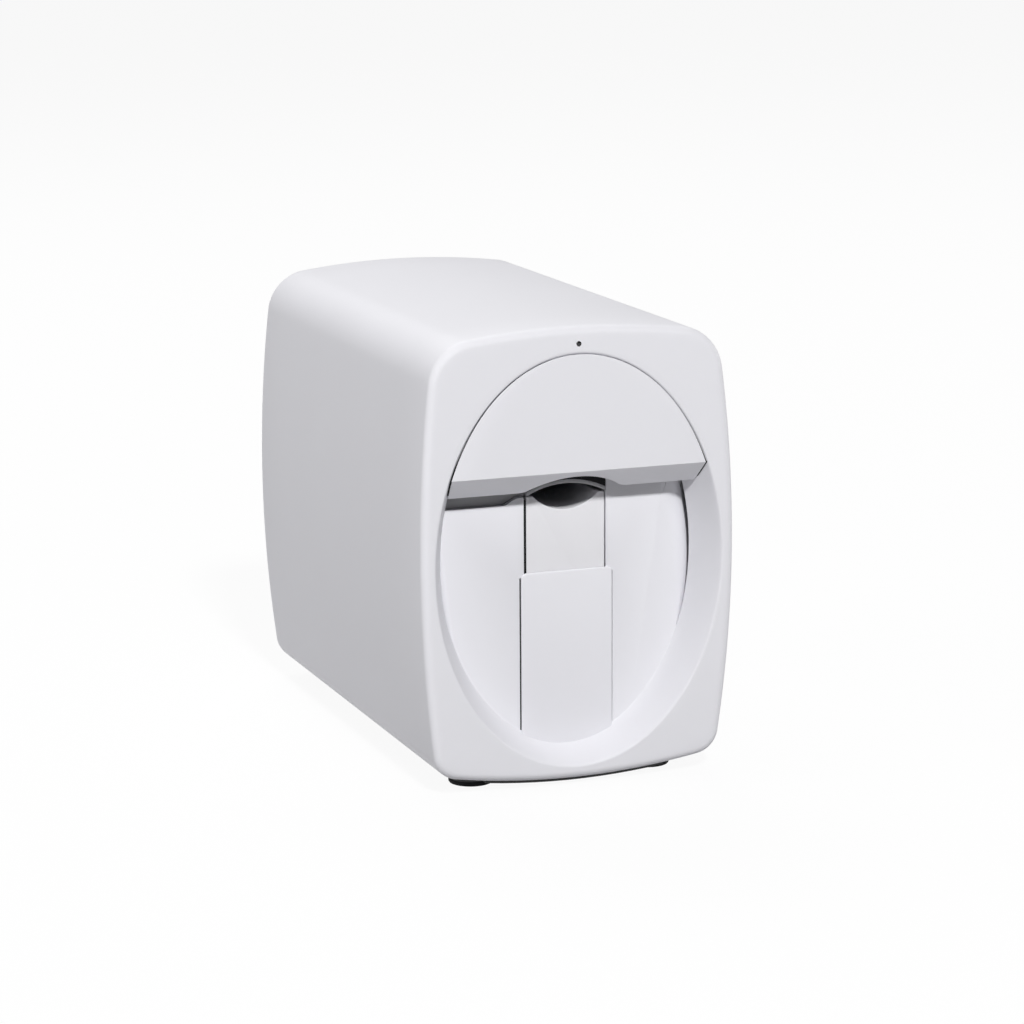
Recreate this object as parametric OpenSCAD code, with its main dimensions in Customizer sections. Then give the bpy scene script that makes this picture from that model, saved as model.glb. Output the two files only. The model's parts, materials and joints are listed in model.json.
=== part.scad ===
// Digital nail art printer: a white rounded box with a scooped front, a pull-off upper cover,
// a sprung finger slide and an inkjet carriage inside. Millimetres, front faces -Y, base on Z = 0.

/* [Body] */
// Overall width of the white body
body_w = 109; // [109:1:118]
// Overall depth of the white body, front to rear
body_d = 185; // [183:1:200]
// Height of the white body, without its feet
body_h = 150.5; // [149:0.5:158]
// Radius of the slightly bowed sides
side_r = 485; // [400:5:700]
// Radius of the slightly bowed top
top_r = 280; // [240:5:400]
// Radius of the slightly bowed bottom
bottom_r = 254; // [230:2:320]
// Radius of the two upper corners
top_corner_r = 16; // [14:0.5:20]
// Radius of the two lower corners
bottom_corner_r = 9; // [9:0.5:12]
// Height at which the sides are furthest apart
widest_h = 76; // [70:1:82]
// Radius of the front edge
front_edge_r = 2.8; // [1.5:0.1:3.2]
// Radius of the rear edge
rear_edge_r = 6; // [4:0.5:6.5]
// Wall thickness of the body
wall = 2.4; // [2:0.1:2.8]
// Thickness of the front wall
front_wall = 2.6; // [2.2:0.1:2.8]

/* [Front recess and cover] */
// Narrow margin between the recess rim and the side of the body
rim_side = 4.5; // [4.5:0.5:8]
// Depth of the recessed panels below the front face
panel_depth = 13.3; // [13:0.1:13.4]
// Seam between the upper cover and the body
cover_seam = 0.35; // [0.3:0.05:0.6]
// Height of the upper cover's front, from its lower edge to the top of the body
cover_h = 47.3; // [46.5:0.1:48]
// How far the cover pulls out while its pegs still guide it
cover_pull = 12; // [8:1:13]
// Radius of the cover's guide pegs
peg_r = 2; // [1.5:0.1:2.4]

/* [Finger slide] */
// Width of the finger slide
slide_w = 27.5; // [25:0.5:27.5]
// How far the slide's top edge lies below the cover's lower edge, at rest
slide_drop = 9.9; // [9.7:0.1:10.7]
// Height of the slide that shows above the fixed apron
strip_h = 25.3; // [24:0.1:26]
// Radius of the slide's finger trough
cradle_r = 15.4; // [14.5:0.1:17]
// How far the slide goes down under a finger
slide_travel = 13; // [8:0.5:13]
// Radius of the slide's guide rods
guide_r = 1.5; // [1.2:0.1:1.8]
// Radius of the arched finger stop
stop_r = 29; // [27:0.5:32]

/* [Feet] */
// Height of the feet below the body
foot_h = 2.5; // [2:0.1:4]
// Radius of the feet
foot_r = 7.5; // [6:0.5:8]
// Half the distance between left and right feet
foot_x = 31.5; // [30:0.5:34]
// Distance of the feet from the front and rear faces
foot_in = 20; // [18:1:24]

/* [Printing carriage] */
// Width of the ink cartridge
ink_w = 36; // [30:1:36]
// Travel of the carriage to each side
x_travel = 10; // [6:1:10]
// Travel of the bridge towards the front
y_travel = 16; // [12:1:16]
// Radius of the carriage rods
rod_r = 2; // [1.5:0.1:2.2]
// Radius of the bridge rails
rail_r = 2.5; // [2:0.1:2.8]
// Radius of the belt pulleys
pulley_r = 5; // [4.5:0.1:5.5]

/* [Hidden] */
$fn = 48;
run_gap = 0.05;     // radial clearance of a running fit
floor_h = 5;        // flat inner floor of the body
pad_h = 6.5;        // top of the floor bosses
deck_t = 2;
tray_t = 9;         // depth of the slide's tray below its top edge
lip_h = body_h - cover_h;             // lower front edge of the cover
slide_top = lip_h - slide_drop;
panel_top = slide_top - 2.3;          // top edge of the recess panels
apron_top = slide_top - strip_h;
// underside of the deck, clear below the pressed slide and its closed springs
deck_z = slide_top - tray_t - slide_travel - 13.3;
rim_a = body_w / 2 - rim_side;
rim_b = (body_h - 13.1) / 2;
rim_c = 4.46 + rim_b;
crown_r = 1667;
slide_d = panel_depth + 0.6;          // front face of the slide
slide_t = 2;
slide_low = apron_top - 5 - slide_travel;
slot_low = slide_low - slide_travel - 3;
apron_d = panel_depth - 0.7;
apron_x = slide_w / 2 + 2.25;
back_d = panel_depth + 2.3;           // rear face of the recess panels
stop_d = back_d + 0.1;                // front face of the finger stop's plate
fillet_d = 4.5;                       // depth of the fillet at the foot of the recess
slot_x = slide_w / 2 + 0.35;
joint_w = 0.35;                       // width of the joints beside the apron
peg_x = rim_a - 19;
peg_h = body_h - 28.5;
magnet_x = 14;
magnet_h = rim_c + rim_b - 12;
guide_x = slide_w / 2 + 4.75;
guide_d = 37;
cam_x = 34.2;
bridge_d = 100;                       // front face of the bridge at rest
head_h = slide_top + 6.1;             // underside of the carriage, clear of the finger
rail_h = head_h + 6.6;
rod_d = bridge_d + 7;
rod_h = [head_h + 14.6, head_h + 28.6];
belt_h = head_h + 21.6;
gate_d = bridge_d - 58;               // pin of the cartridge gate
gate_h = head_h + 4.1;
nozzle_d = bridge_d - 46;             // middle of the nozzles
front_post_d = bridge_d - y_travel - 10;
rear_post_d = bridge_d + 22;
carriage_x = ink_w / 2 + 1.8;
screw_x = carriage_x + x_travel + 4.2;
rail_x = screw_x + 7.5;
deck_x = rail_x + 3.5;
pulley_x = rail_x - 11;
panel_rear = body_d - 0.6;            // outer face of the rear cover
jack_x = -24;
usb_x = -6;
button_x = 20;
board_top = 14.6;                     // upper face of the main board
port_h = board_top + 6.4;
vent_h = body_h - 66.5;
cell_l = 65;                          // a standard lithium cell
batt_x = cell_l / 2 + 1.5;
post_x = batt_x + 3.5;
standoff_d = body_d - 26;             // rear standoffs of the main board
driver_d = body_d - 25;               // front face of the driver board

// Which piece to make; "all" makes the whole printer

// ---- helpers: inside place() a point is [x, depth behind the front face, height above the body]
module place() translate([0, -body_d / 2, foot_h]) children();
module bar(x0, x1, d0, d1, h0, h1) translate([x0, d0, h0]) cube([x1 - x0, d1 - d0, h1 - h0]);
module both() { children(); mirror([1, 0, 0]) children(); }
// cylinders along each axis, each from its lower end
module up(x, d, h, r, l) translate([x, d, h]) cylinder(r = r, h = l);
module along(x, d, h, r, l) translate([x, d, h]) rotate([-90, 0, 0]) cylinder(r = r, h = l);
module across(x, d, h, r, l) translate([x, d, h]) rotate([0, 90, 0]) cylinder(r = r, h = l);
// a side profile of [depth, height] points, made wide from x0 to x1
module profile(x0, x1, pts) translate([x0, 0, 0]) rotate([90, 0, 90])
    linear_extrude(x1 - x0) polygon(pts);
// a front view of [x, height] points, made deep from d0 to d1
module plate(d0, d1, pts) translate([0, d1, 0]) rotate([90, 0, 0])
    linear_extrude(d1 - d0) polygon(pts);

function crown(h) = pow(h - rim_c, 2) / (2 * crown_r);
function dir(v) = atan2(v.y, v.x);
function meet(c0, r0, c1, r1, s) = let (v = c1 - c0, d = norm(v),
    a = (r0 * r0 - r1 * r1 + d * d) / (2 * d), k = sqrt(r0 * r0 - a * a))
    c0 + a * v / d + s * k * [-v.y, v.x] / d;
function arc(c, r, a0, a1, n) =
    [for (i = [0:n - 1]) c + r * [cos(a0 + (a1 - a0) * i / n), sin(a0 + (a1 - a0) * i / n)]];

side_c = [body_w / 2 - side_r, widest_h];
top_c = [0, body_h - top_r];
bottom_c = [0, bottom_r];
corner_t = meet(side_c, side_r - top_corner_r, top_c, top_r - top_corner_r, 1);
corner_b = meet(side_c, side_r - bottom_corner_r, bottom_c, bottom_r - bottom_corner_r, -1);
bottom_end = dir(corner_b - bottom_c);
side_start = dir(corner_b - side_c);
side_end = dir(corner_t - side_c);
top_start = dir(corner_t - top_c);

// right half of the body's outline, from the bottom centre to the top centre
function half(inset) = concat(arc(bottom_c, bottom_r - inset, -90, bottom_end, 5),
    arc(corner_b, bottom_corner_r - inset, bottom_end, side_start, 5),
    arc(side_c, side_r - inset, side_start, side_end, 9),
    arc(corner_t, top_corner_r - inset, side_end, top_start, 7),
    arc(top_c, top_r - inset, top_start, 90, 6), [[0, body_h - inset]]);
function whole(inset) = let (a = half(inset), n = len(a) - 1)
    concat(a, [for (i = [n - 1:-1:1]) [-a[i].x, a[i].y]]);
// one ring of points around the body at a depth; k = 1 follows the front face's crown
function ring(d, inset, k) = [for (p = whole(inset)) [p.x, d + k * crown(p.y), p.y]];

// a closed solid through rings of points that run bottom, right, top, left
module loft(rings) {
    n = len(rings[0]);
    m = len(rings);
    e = (m - 1) * n;
    polyhedron(points = [for (r = rings) for (p = r) p], faces = concat(
        [for (k = [0:m - 2]) for (i = [0:n - 1]) [k * n + i, k * n + (i + 1) % n,
            (k + 1) * n + (i + 1) % n]],
        [for (k = [0:m - 2]) for (i = [0:n - 1]) [k * n + i, (k + 1) * n + (i + 1) % n,
            (k + 1) * n + i]],
        [[0, n - 1, 1], [n / 2, n / 2 - 1, n / 2 + 1]],
        [for (i = [1:n / 2 - 2]) [i, n - i, n - i - 1, i + 1]],
        [[e, e + 1, e + n - 1], [e + n / 2, e + n / 2 + 1, e + n / 2 - 1]],
        [for (i = [1:n / 2 - 2]) [e + i, e + i + 1, e + n - i - 1, e + n - i]]));
}

// the scooped recess: an ellipse that narrows with depth, with a fillet at its lower foot
function curl(d) = 1 - sqrt(1 - pow(min(max(d - panel_depth + fillet_d, 0) / fillet_d, 1), 2));
function low(t) = min(max((panel_top - 41 - rim_c + rim_b * cos(t)) / 30, 0), 1);
function scoop(d, grow, shift = 0) = [for (i = [0:63]) let (t = i * 5.625, c = low(t) * curl(d),
    a = rim_a - 0.46 * d - 4.5 * c + grow,
    b = rim_b - (cos(t) > 0 ? 0.4 * d + 3.5 * c : 0.46 * d) + grow, h = rim_c - b * cos(t))
    [a * sin(t), d + shift + crown(h) * min(1, max(0, (18 - d - shift) / 13)), h]];
scoop_depths = [-2, 2.5, 5, 7.5, 9.5, 11, 12.2, 13, panel_depth];
module scoop_void(grow) loft([for (d = scoop_depths) scoop(min(d, panel_depth), grow)]);

// ---- white outer pieces
module housing() color([0.86, 0.86, 0.88]) place() {
    difference() {
        loft([ring(0, front_edge_r, 1), ring(front_edge_r * 0.08, front_edge_r * 0.62, 1),
            ring(front_edge_r * 0.3, front_edge_r * 0.29, 1),
            ring(front_edge_r * 0.62, front_edge_r * 0.08, 1), ring(front_edge_r, 0, 1),
            ring(body_d - rear_edge_r, 0, 0),
            ring(body_d - rear_edge_r * 0.62, rear_edge_r * 0.08, 0),
            ring(body_d - rear_edge_r * 0.3, rear_edge_r * 0.29, 0),
            ring(body_d - rear_edge_r * 0.08, rear_edge_r * 0.62, 0),
            ring(body_d, rear_edge_r, 0)]);
        difference() {
            loft([ring(front_wall, wall, 1), ring(body_d - 7, wall, 0),
                ring(body_d - 5, 8.2, 0), ring(body_d - 2, 8.2, 0)]);
            bar(-body_w, body_w, 18, body_d, -1, floor_h);
            // bosses for the rear cover's screws
            both() boss_block();
        }
        loft([ring(body_d - 3, 6.8, 0), ring(body_d + 2, 6.8, 0)]);
        loft([scoop(-2, 0), scoop(5, 0)]);
        // battery hatch opening and screw holes in the floor
        bar(-22, 22, 40, body_d - 35, -5, 8);
        for (x = [-foot_x, foot_x], d = [foot_in, body_d - foot_in]) up(x, d, -1, 1.5, 20);
        // light pipe hole above the recess
        along(0, -1, body_h - 5.7, 0.85, 6);
        both() along(rear_screw_low.x, body_d - 20, rear_screw_low.y, 1.3, 20);
        both() along(rear_screw_high.x, body_d - 20, rear_screw_high.y, 1.3, 20);
    }
}
rear_screw_low = [foot_x + 4, 12.5];
rear_screw_high = [26, body_h - 12.5];
module boss_block() {
    along(rear_screw_low.x, body_d - 18, rear_screw_low.y, 4, 20);
    bar(rear_screw_low.x - 4, rear_screw_low.x + 4, body_d - 18, body_d, 0, rear_screw_low.y);
    along(rear_screw_high.x, body_d - 18, rear_screw_high.y, 4, 20);
    bar(rear_screw_high.x - 4, rear_screw_high.x + 4, body_d - 18, body_d,
        rear_screw_high.y, body_h);
    // floor bosses for the foot screws, the deck posts and the board's standoffs
    for (d = [foot_in, body_d - foot_in]) up(foot_x, d, 0, 4.5, 12);
    for (p = post_at) up(abs(p.x), p.y, 0, 3.3, pad_h);
    for (p = board_at) up(abs(p.x), p.y, 0, 3.8, pad_h);
}

// recess wall, panels and the fixed apron; its ring is bonded behind the front wall
module dish() color([0.85, 0.85, 0.87]) place() {
    edge = [for (p = scoop(panel_depth, 0)) [p.x, p.z]];
    difference() {
        union() {
            // the recess wall and its panels
            difference() {
                loft([for (d = concat([0.35], [for (i = [1:8]) scoop_depths[i]]))
                    scoop(d, 0.8, 2.3)]);
                scoop_void(0);
                bar(-body_w, body_w, -5, 40, lip_h + 5, body_h);
                // the open slot over the left panel; the right one goes on up behind the cover
                intersection() {
                    loft([scoop(panel_depth - 1, 0), scoop(panel_depth - 1, 0, 6)]);
                    plate(10, 20, [[-body_w, panel_top], [-22, panel_top],
                        [-17, panel_top + 2.7], [slot_x, panel_top + 2.7], [slot_x, lip_h],
                        [body_w, lip_h], [body_w, lip_h + 6], [-body_w, lip_h + 6]]);
                }
                // the slide's slot, the joints beside the apron and the grooves beside the panels
                both() bar(apron_x, apron_x + joint_w, panel_depth - 1, panel_depth + 1.2,
                    16, apron_top - 1.5);
                bar(-slot_x, slot_x, panel_depth - 2, 20, slot_low, lip_h + 6);
                both() plate(panel_depth - 0.5, panel_depth + 1.7, concat(
                    [for (i = [12:21]) edge[i] + [0.2, 0]],
                    [for (i = [21:-1:12])
                        edge[i] - [max(0.1, 2.1 * (edge[i].y - panel_top + 42) / 42), 0]]));
            }
            // the ring, which is also the ledge that the cover rests on
            difference() {
                loft([scoop(ledge_d, 2.4), scoop(ledge_d, 2.4, 2)]);
                intersection() {
                    loft([scoop(ledge_d - 3, 0), scoop(ledge_d + 4, 0)]);
                    bar(-body_w, body_w, -5, 40, 0, lip_h + 5);
                }
                intersection() {
                    loft([scoop(ledge_d - 3, -2.6), scoop(ledge_d + 4, -2.6)]);
                    bar(-body_w, body_w, -5, 40, lip_h + 4, body_h);
                }
            }
            both() seats();
            apron();
        }
        both() along(peg_x, 0, peg_h, peg_r + run_gap, 40);
        both() along(magnet_x, magnet_d + 1.7, magnet_h, 3.55, 2.25);
    }
}
ledge_d = front_wall + 0.05;
peg_d = front_wall + crown(peg_h);
magnet_d = front_wall + crown(magnet_h);
// the cover's peg sockets and magnet seats, with the arms that join them to the ring
module seats() {
    along(peg_x, peg_d + 0.15, peg_h, peg_r + 2, 12);
    bar(peg_x - 3, peg_x + 7, peg_d + 0.6, peg_d + 4, peg_h - 3, peg_h + 2.5);
    along(magnet_x, magnet_d + 1.8, magnet_h, 4.8, 3.6);
    bar(magnet_x - 4.8, magnet_x + 4.8, magnet_d + 1.8, magnet_d + 5.4, magnet_h,
        magnet_h + 10);
    bar(magnet_x - 4.8, magnet_x + 4.8, magnet_d + 0.75, magnet_d + 5.4, magnet_h + 6.5,
        magnet_h + 10);
}
module apron() plate(apron_d, apron_d + 1, [[-apron_x, 14.2], [-10, 10.8], [10, 10.8],
    [apron_x, 14.2],
    [apron_x, apron_top - 1.5], [apron_x - 0.5, apron_top - 0.4], [apron_x - 1.6, apron_top],
    [-apron_x + 1.6, apron_top], [-apron_x + 0.5, apron_top - 0.4],
    [-apron_x, apron_top - 1.5]]);

module front_cover() color([0.86, 0.86, 0.88]) place() {
    edge_d = crown(lip_h);
    arch_r = 31;
    difference() {
        intersection() {
            union() {
                intersection() {
                    loft([ring(0, 1, 1), ring(front_wall, 1, 1)]);
                    bar(-body_w, body_w, -5, 20, lip_h, body_h);
                }
                profile(-body_w / 2, body_w / 2, [[edge_d, lip_h], [7.2, lip_h - 7],
                    [9, lip_h - 7], [9, lip_h - 4.2], [front_wall + edge_d - 0.2, lip_h + 4],
                    [edge_d + 0.3, lip_h + 4]]);
            }
            loft([scoop(-2, -cover_seam), scoop(12, -cover_seam)]);
        }
        along(0, -10, lip_h - 1.9 - arch_r, arch_r, 30);
        // blind holes that hold the pegs and the magnets
        both() along(peg_x, peg_d - 1.2, peg_h, peg_r + 0.02, 10);
        both() along(magnet_x, magnet_d - 0.6, magnet_h, 3.22, 10);
    }
}
module cover_pegs() color([0.75, 0.76, 0.78]) place()
    both() along(peg_x, peg_d - 1.18, peg_h, peg_r, cover_pull + 1.6);
module cover_magnets() color([0.6, 0.6, 0.62]) place()
    both() along(magnet_x, magnet_d - 0.58, magnet_h, 3.2, 2);
module catch_magnets() color([0.6, 0.6, 0.62]) place()
    both() along(magnet_x, magnet_d + 1.93, magnet_h, 3.5, 2);
module indicator_lens() color([0.05, 0.05, 0.06]) place() {
    along(0, crown(body_h - 5.7) + 0.05, body_h - 5.7, 0.8, front_wall + 0.5);
    along(0, crown(body_h - 5.7) + front_wall + 0.1, body_h - 5.7, 1.8, 1.4);
}

// ---- finger slide and its stop
module finger_slide() color([0.84, 0.84, 0.86]) place() {
    x = slide_w / 2;
    difference() {
        union() {
            bar(-x, x, slide_d, slide_d + slide_t, slide_low, slide_top);
            bar(-x + 0.6, x - 0.6, slide_d + slide_t, 60, slide_top - tray_t, slide_top);
            both() bar(x - 1, guide_x + 3.2, 31, 43, slide_top - tray_t, slide_top - 1.3);
            // rounded wall at the finger's tip
            bar(-x + 0.6, x - 0.6, 60, 62, slide_top - tray_t, slide_top + 1);
        }
        along(0, 0, slide_top - 5 + cradle_r, cradle_r, 60);
        both() up(guide_x, guide_d, 0, guide_r + run_gap, 200);
    }
}
module slide_guides() color([0.75, 0.76, 0.78]) place()
    both() up(guide_x, guide_d, deck_z + deck_t, guide_r,
        slide_top + 4.7 - deck_z - deck_t);
module slide_springs() color([0.7, 0.71, 0.73]) place()
    both() coil(guide_x, guide_d, deck_z + deck_t + 0.5,
        slide_top - tray_t - 1 - deck_z - deck_t, 6);
// a coil spring of r = 3 mm whose wire is a six-sided ring section
module coil(x, d, h, l, turns) {
    n = turns * 12;
    polyhedron(points = [for (i = [0:n]) for (j = [0:5]) let (a = i * 30, b = j * 60,
            r = guide_r + 1.3 + 0.45 * cos(b))
            [x + r * cos(a), d + r * sin(a), h + l * i / n + 0.45 * sin(b)]],
        faces = concat([[for (j = [0:5]) j]], [[for (j = [5:-1:0]) n * 6 + j]],
            [for (i = [0:n - 1]) for (j = [0:5]) [i * 6 + j, (i + 1) * 6 + j,
                (i + 1) * 6 + (j + 1) % 6]],
            [for (i = [0:n - 1]) for (j = [0:5]) [i * 6 + j, (i + 1) * 6 + (j + 1) % 6,
                i * 6 + (j + 1) % 6]]));
}
// dark plate behind the slot, with an arched lip over the finger and arms that hold the guides
module finger_stop() color([0.27, 0.27, 0.29]) place() {
    c = slide_top + 3.8 - stop_r;
    low_h = slide_top - 33.3;
    difference() {
        union() {
            bar(-38, 38, stop_d, stop_d + 2, slide_top - 15.3, slide_top + 11.7);
            intersection() {
                along(0, panel_depth + 0.1, c, stop_r + 2, 4.2);
                bar(-slot_x + 0.3, slot_x - 0.3, 0, 40, slide_top - 2, slide_top + 16.7);
            }
            both() bar(guide_x - 3.6, guide_x + 3.6, stop_d + 2, guide_d + 4,
                slide_top + 1.7, slide_top + 4.7);
            bar(cam_x - 4, cam_x + 3.8, stop_d, stop_d + 2, slide_top + 9, slide_top + 22.7);
        }
        intersection() {
            along(0, 0, c, stop_r, 60);
            bar(-slot_x, slot_x, -1, 60, low_h, slide_top + 16.7);
        }
        bar(-slot_x, slot_x, stop_d - 0.5, 60, low_h, slide_top - 1.5);
        both() up(guide_x, guide_d, low_h, guide_r, 60);
    }
}
// looks back at the nail from beside the carriage
module camera_module() color([0.1, 0.1, 0.11]) place() {
    bar(cam_x - 3.8, cam_x + 3.8, stop_d + 2, stop_d + 3.2, slide_top + 11, slide_top + 21.5);
    along(cam_x, stop_d + 3.2, slide_top + 16, 2.4, 3);
}
module nail_lamp() color([0.9, 0.9, 0.85]) place()
    both() bar(2, 13, stop_d + 2, stop_d + 3.4, slide_top + 5.7, slide_top + 9.2);

// ---- rear, base and feet
module rear_cover() color([0.84, 0.84, 0.86]) place() {
    difference() {
        loft([ring(body_d - 3, 7.1, 0), ring(panel_rear, 7.1, 0)]);
        for (i = [0:8]) bar(-27, 27, body_d - 8, body_d + 2,
            vent_h + i * 5, vent_h + 2.2 + i * 5);
        along(button_x, body_d - 10, port_h, 6, 20);
        along(jack_x, body_d - 10, port_h, 4.2, 20);
        bar(usb_x - 5, usb_x + 5, body_d - 8, body_d + 2, port_h - 2.4, port_h + 2.4);
        both() along(rear_screw_low.x, body_d - 10, rear_screw_low.y, 1.6, 20);
        both() along(rear_screw_high.x, body_d - 10, rear_screw_high.y, 1.6, 20);
        both() along(rear_screw_low.x, panel_rear - 1.2, rear_screw_low.y, 3.1, 20);
        both() along(rear_screw_high.x, panel_rear - 1.2, rear_screw_high.y, 3.1, 20);
    }
}
module screw(p) {
    difference() {
        along(p.x, panel_rear - 1.2, p.y, 2.9, 1.1);
        bar(p.x - 2, p.x + 2, panel_rear - 0.7, body_d, p.y - 0.4, p.y + 0.4);
        bar(p.x - 0.4, p.x + 0.4, panel_rear - 0.7, body_d, p.y - 2, p.y + 2);
    }
    along(p.x, body_d - 15, p.y, 1.25, 14);
}
module rear_screws() color([0.5, 0.5, 0.52]) place() {
    both() screw(rear_screw_low);
    both() screw(rear_screw_high);
}
module power_button() color([0.8, 0.8, 0.83]) place() {
    along(button_x, body_d - 3.4, port_h, 5.6, 3.3);
    along(button_x, body_d - 4.6, port_h, 7.2, 1.4);
    along(button_x, body_d - 8.8, port_h, 1.6, 4.4);
}
module power_switch() color([0.15, 0.15, 0.16]) place() difference() {
    bar(button_x - 4, button_x + 4, body_d - 14, body_d - 8.9, board_top, port_h + 4);
    // the button's stem goes in here
    along(button_x, body_d - 10.4, port_h, 1.8, 5);
}
module dc_jack() color([0.09, 0.09, 0.1]) place() {
    difference() {
        union() {
            bar(jack_x - 4.6, jack_x + 4.6, body_d - 17, body_d - 3.4,
                board_top, port_h + 4.6);
            along(jack_x, body_d - 4, port_h, 3.8, 3);
        }
        along(jack_x, body_d - 13, port_h, 2.8, 20);
    }
    along(jack_x, body_d - 13.5, port_h, 1, 10);
}
module usb_port() color([0.7, 0.71, 0.73]) place() {
    difference() {
        bar(usb_x - 4.6, usb_x + 4.6, body_d - 14, body_d - 1, port_h - 2, port_h + 2);
        bar(usb_x - 4.2, usb_x + 4.2, body_d - 11, body_d + 1, port_h - 1.6, port_h + 1.6);
    }
    bar(usb_x - 3.4, usb_x + 3.4, body_d - 11.2, body_d - 3, port_h - 0.35, port_h + 0.35);
    bar(usb_x - 4.6, usb_x + 4.6, body_d - 14, body_d - 9, board_top, port_h - 1.8);
}
module base_plate() color([0.07, 0.07, 0.08]) place() {
    difference() {
        union() {
            intersection() {
                difference() {
                    along(0, 5.5, bottom_r, bottom_r + 1.3, body_d - 13, $fn = 360);
                    along(0, 0, bottom_r, bottom_r + 0.08, body_d + 10, $fn = 360);
                }
                bar(-foot_x, foot_x, 0, body_d, -3, 10);
            }
            intersection() {
                along(0, 40.4, bottom_r, bottom_r + 0.5, body_d - 75.8, $fn = 360);
                bar(-21.6, 21.6, 40.4, body_d - 35.4, -3, 3.2);
            }
            for (x = [-foot_x, foot_x], d = [foot_in, body_d - foot_in]) intersection() {
                up(x, d, -0.9, foot_r - 0.3, 12);
                difference() {
                    bar(-60, 60, 0, body_d, -3, 10);
                    along(0, -1, bottom_r, bottom_r + 0.08, body_d + 10, $fn = 360);
                }
            }
        }
        for (x = [-foot_x, foot_x], d = [foot_in, body_d - foot_in]) {
            up(x, d, -5, 1.6, 20);
            up(x, d, -5, 3.2, 4.9);
        }
    }
}
module base_screws() color([0.5, 0.5, 0.52]) place()
    for (x = [-foot_x, foot_x], d = [foot_in, body_d - foot_in]) {
        up(x, d, -0.8, 2.9, 0.7);
        up(x, d, -0.8, 1.45, 11);
    }
module rubber_feet() color([0.03, 0.03, 0.03]) place()
    for (x = [-foot_x, foot_x], d = [foot_in, body_d - foot_in]) {
        translate([x, d, -foot_h]) cylinder(r1 = foot_r - 0.5, r2 = foot_r, h = 0.6);
        up(x, d, -foot_h + 0.6, foot_r, foot_h - 1.5);
    }

// ---- frame inside
module deck() color([0.62, 0.63, 0.65]) place() {
    difference() {
        bar(-deck_x, deck_x, 22, driver_d + 6, deck_z, deck_z + deck_t);
        bar(-8, 8, 80, 90, deck_z - 5, deck_z + 10);
        bar(-8, 4, driver_d - 22, driver_d - 12, deck_z - 5, deck_z + 10);
        for (p = post_at) up(p.x, p.y, deck_z - 5, 1.6, 20);
    }
}
post_at = [for (x = [-1, 1], d = [30, 108, driver_d - 4]) [x * post_x, d]];
module deck_posts() color([0.8, 0.66, 0.35]) place()
    for (p = post_at) up(p.x, p.y, pad_h, 2.6, deck_z - pad_h);
module deck_screws() color([0.5, 0.5, 0.52]) place()
    for (p = post_at) {
        up(p.x, p.y, deck_z + deck_t, 2.8, 1.6);
        up(p.x, p.y, deck_z + 0.05, 1.5, 2.5);
    }
module rail_posts() color([0.3, 0.31, 0.33]) place() {
    h = deck_z + deck_t;
    difference() {
        union() {
            both() for (d = [front_post_d, rear_post_d])
                bar(rail_x - 3.5, rail_x + 3.5, d, d + 6, h, rail_h + 5);
            bar(screw_x - 3.4, rail_x, front_post_d, front_post_d + 6, h, rail_h + 5);
        }
        both() along(rail_x, 0, rail_h, rail_r, 200);
        along(screw_x, 0, rail_h, 1.5 + run_gap, 200);
    }
}
module y_rails() color([0.75, 0.76, 0.78]) place()
    both() along(rail_x, front_post_d, rail_h, rail_r, rear_post_d + 6 - front_post_d);
module bridge() color([0.24, 0.25, 0.27]) place() {
    d = bridge_d;
    h = head_h;
    difference() {
        union() {
            // side walls, drawn in above the rails as the body's corners are
            both() plate(d, d + 16, [[rail_x - 4, h + 0.6], [rail_x + 3.5, h + 0.6],
                [rail_x + 3.5, h + 12.6], [rail_x + 0.5, h + 18], [rail_x + 0.5, h + 31],
                [rail_x - 3, h + 37.6], [rail_x - 4, h + 37.6]]);
            plate(d + 4, d + 18, [[-rail_x + 1.2, h + 34.1], [-rail_x + 3, h + 37.6],
                [rail_x - 3, h + 37.6], [rail_x - 1.2, h + 34.1]]);
            plate(d + 16.5, d + 18, [[-rail_x - 0.5, h + 12.1], [rail_x + 0.5, h + 12.1],
                [rail_x + 0.5, h + 31], [rail_x - 3, h + 37.6], [-rail_x + 3, h + 37.6],
                [-rail_x - 0.5, h + 31]]);
        }
        both() along(rail_x, 0, rail_h, rail_r + run_gap, 200);
        for (z = rod_h) across(-60, rod_d, z, rod_r, 120);
        along(pulley_x, d + 10, belt_h, 1.6, 20);
        along(-pulley_x, d + 10, belt_h, 1, 20);
    }
}
module x_rods() color([0.75, 0.76, 0.78]) place()
    for (z = rod_h) across(-rail_x - 0.5, rod_d, z, rod_r, 2 * rail_x + 1);
module carriage() color([0.2, 0.21, 0.23]) place() {
    c = carriage_x;
    d = bridge_d;
    h = head_h;
    difference() {
        union() {
            bar(-c, c, d - 56, d + 12, h, h + 1.8);
            both() bar(c - 1.5, c, d - 56, d + 12, h, h + 26.6);
            bar(-c, c, d + 2.4, d + 12, h, h + 33.1);
            bar(-4, 4, d + 11, d + 16, h + 13.2, belt_h - pulley_r - 1.15);
            bar(-4, 4, d + 11, d + 16, belt_h - pulley_r + 0.15, h + 19.1);
            both() bar(c - 1.5, c, gate_d - 2, gate_d + 3, h, gate_h + 3.5);
        }
        for (z = rod_h) across(-60, rod_d, z, rod_r + run_gap, 120);
        bar(-11, 11, nozzle_d - 7, nozzle_d + 7, h - 9, h + 11);
        across(-60, gate_d, gate_h, 1, 120);
    }
}
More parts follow.
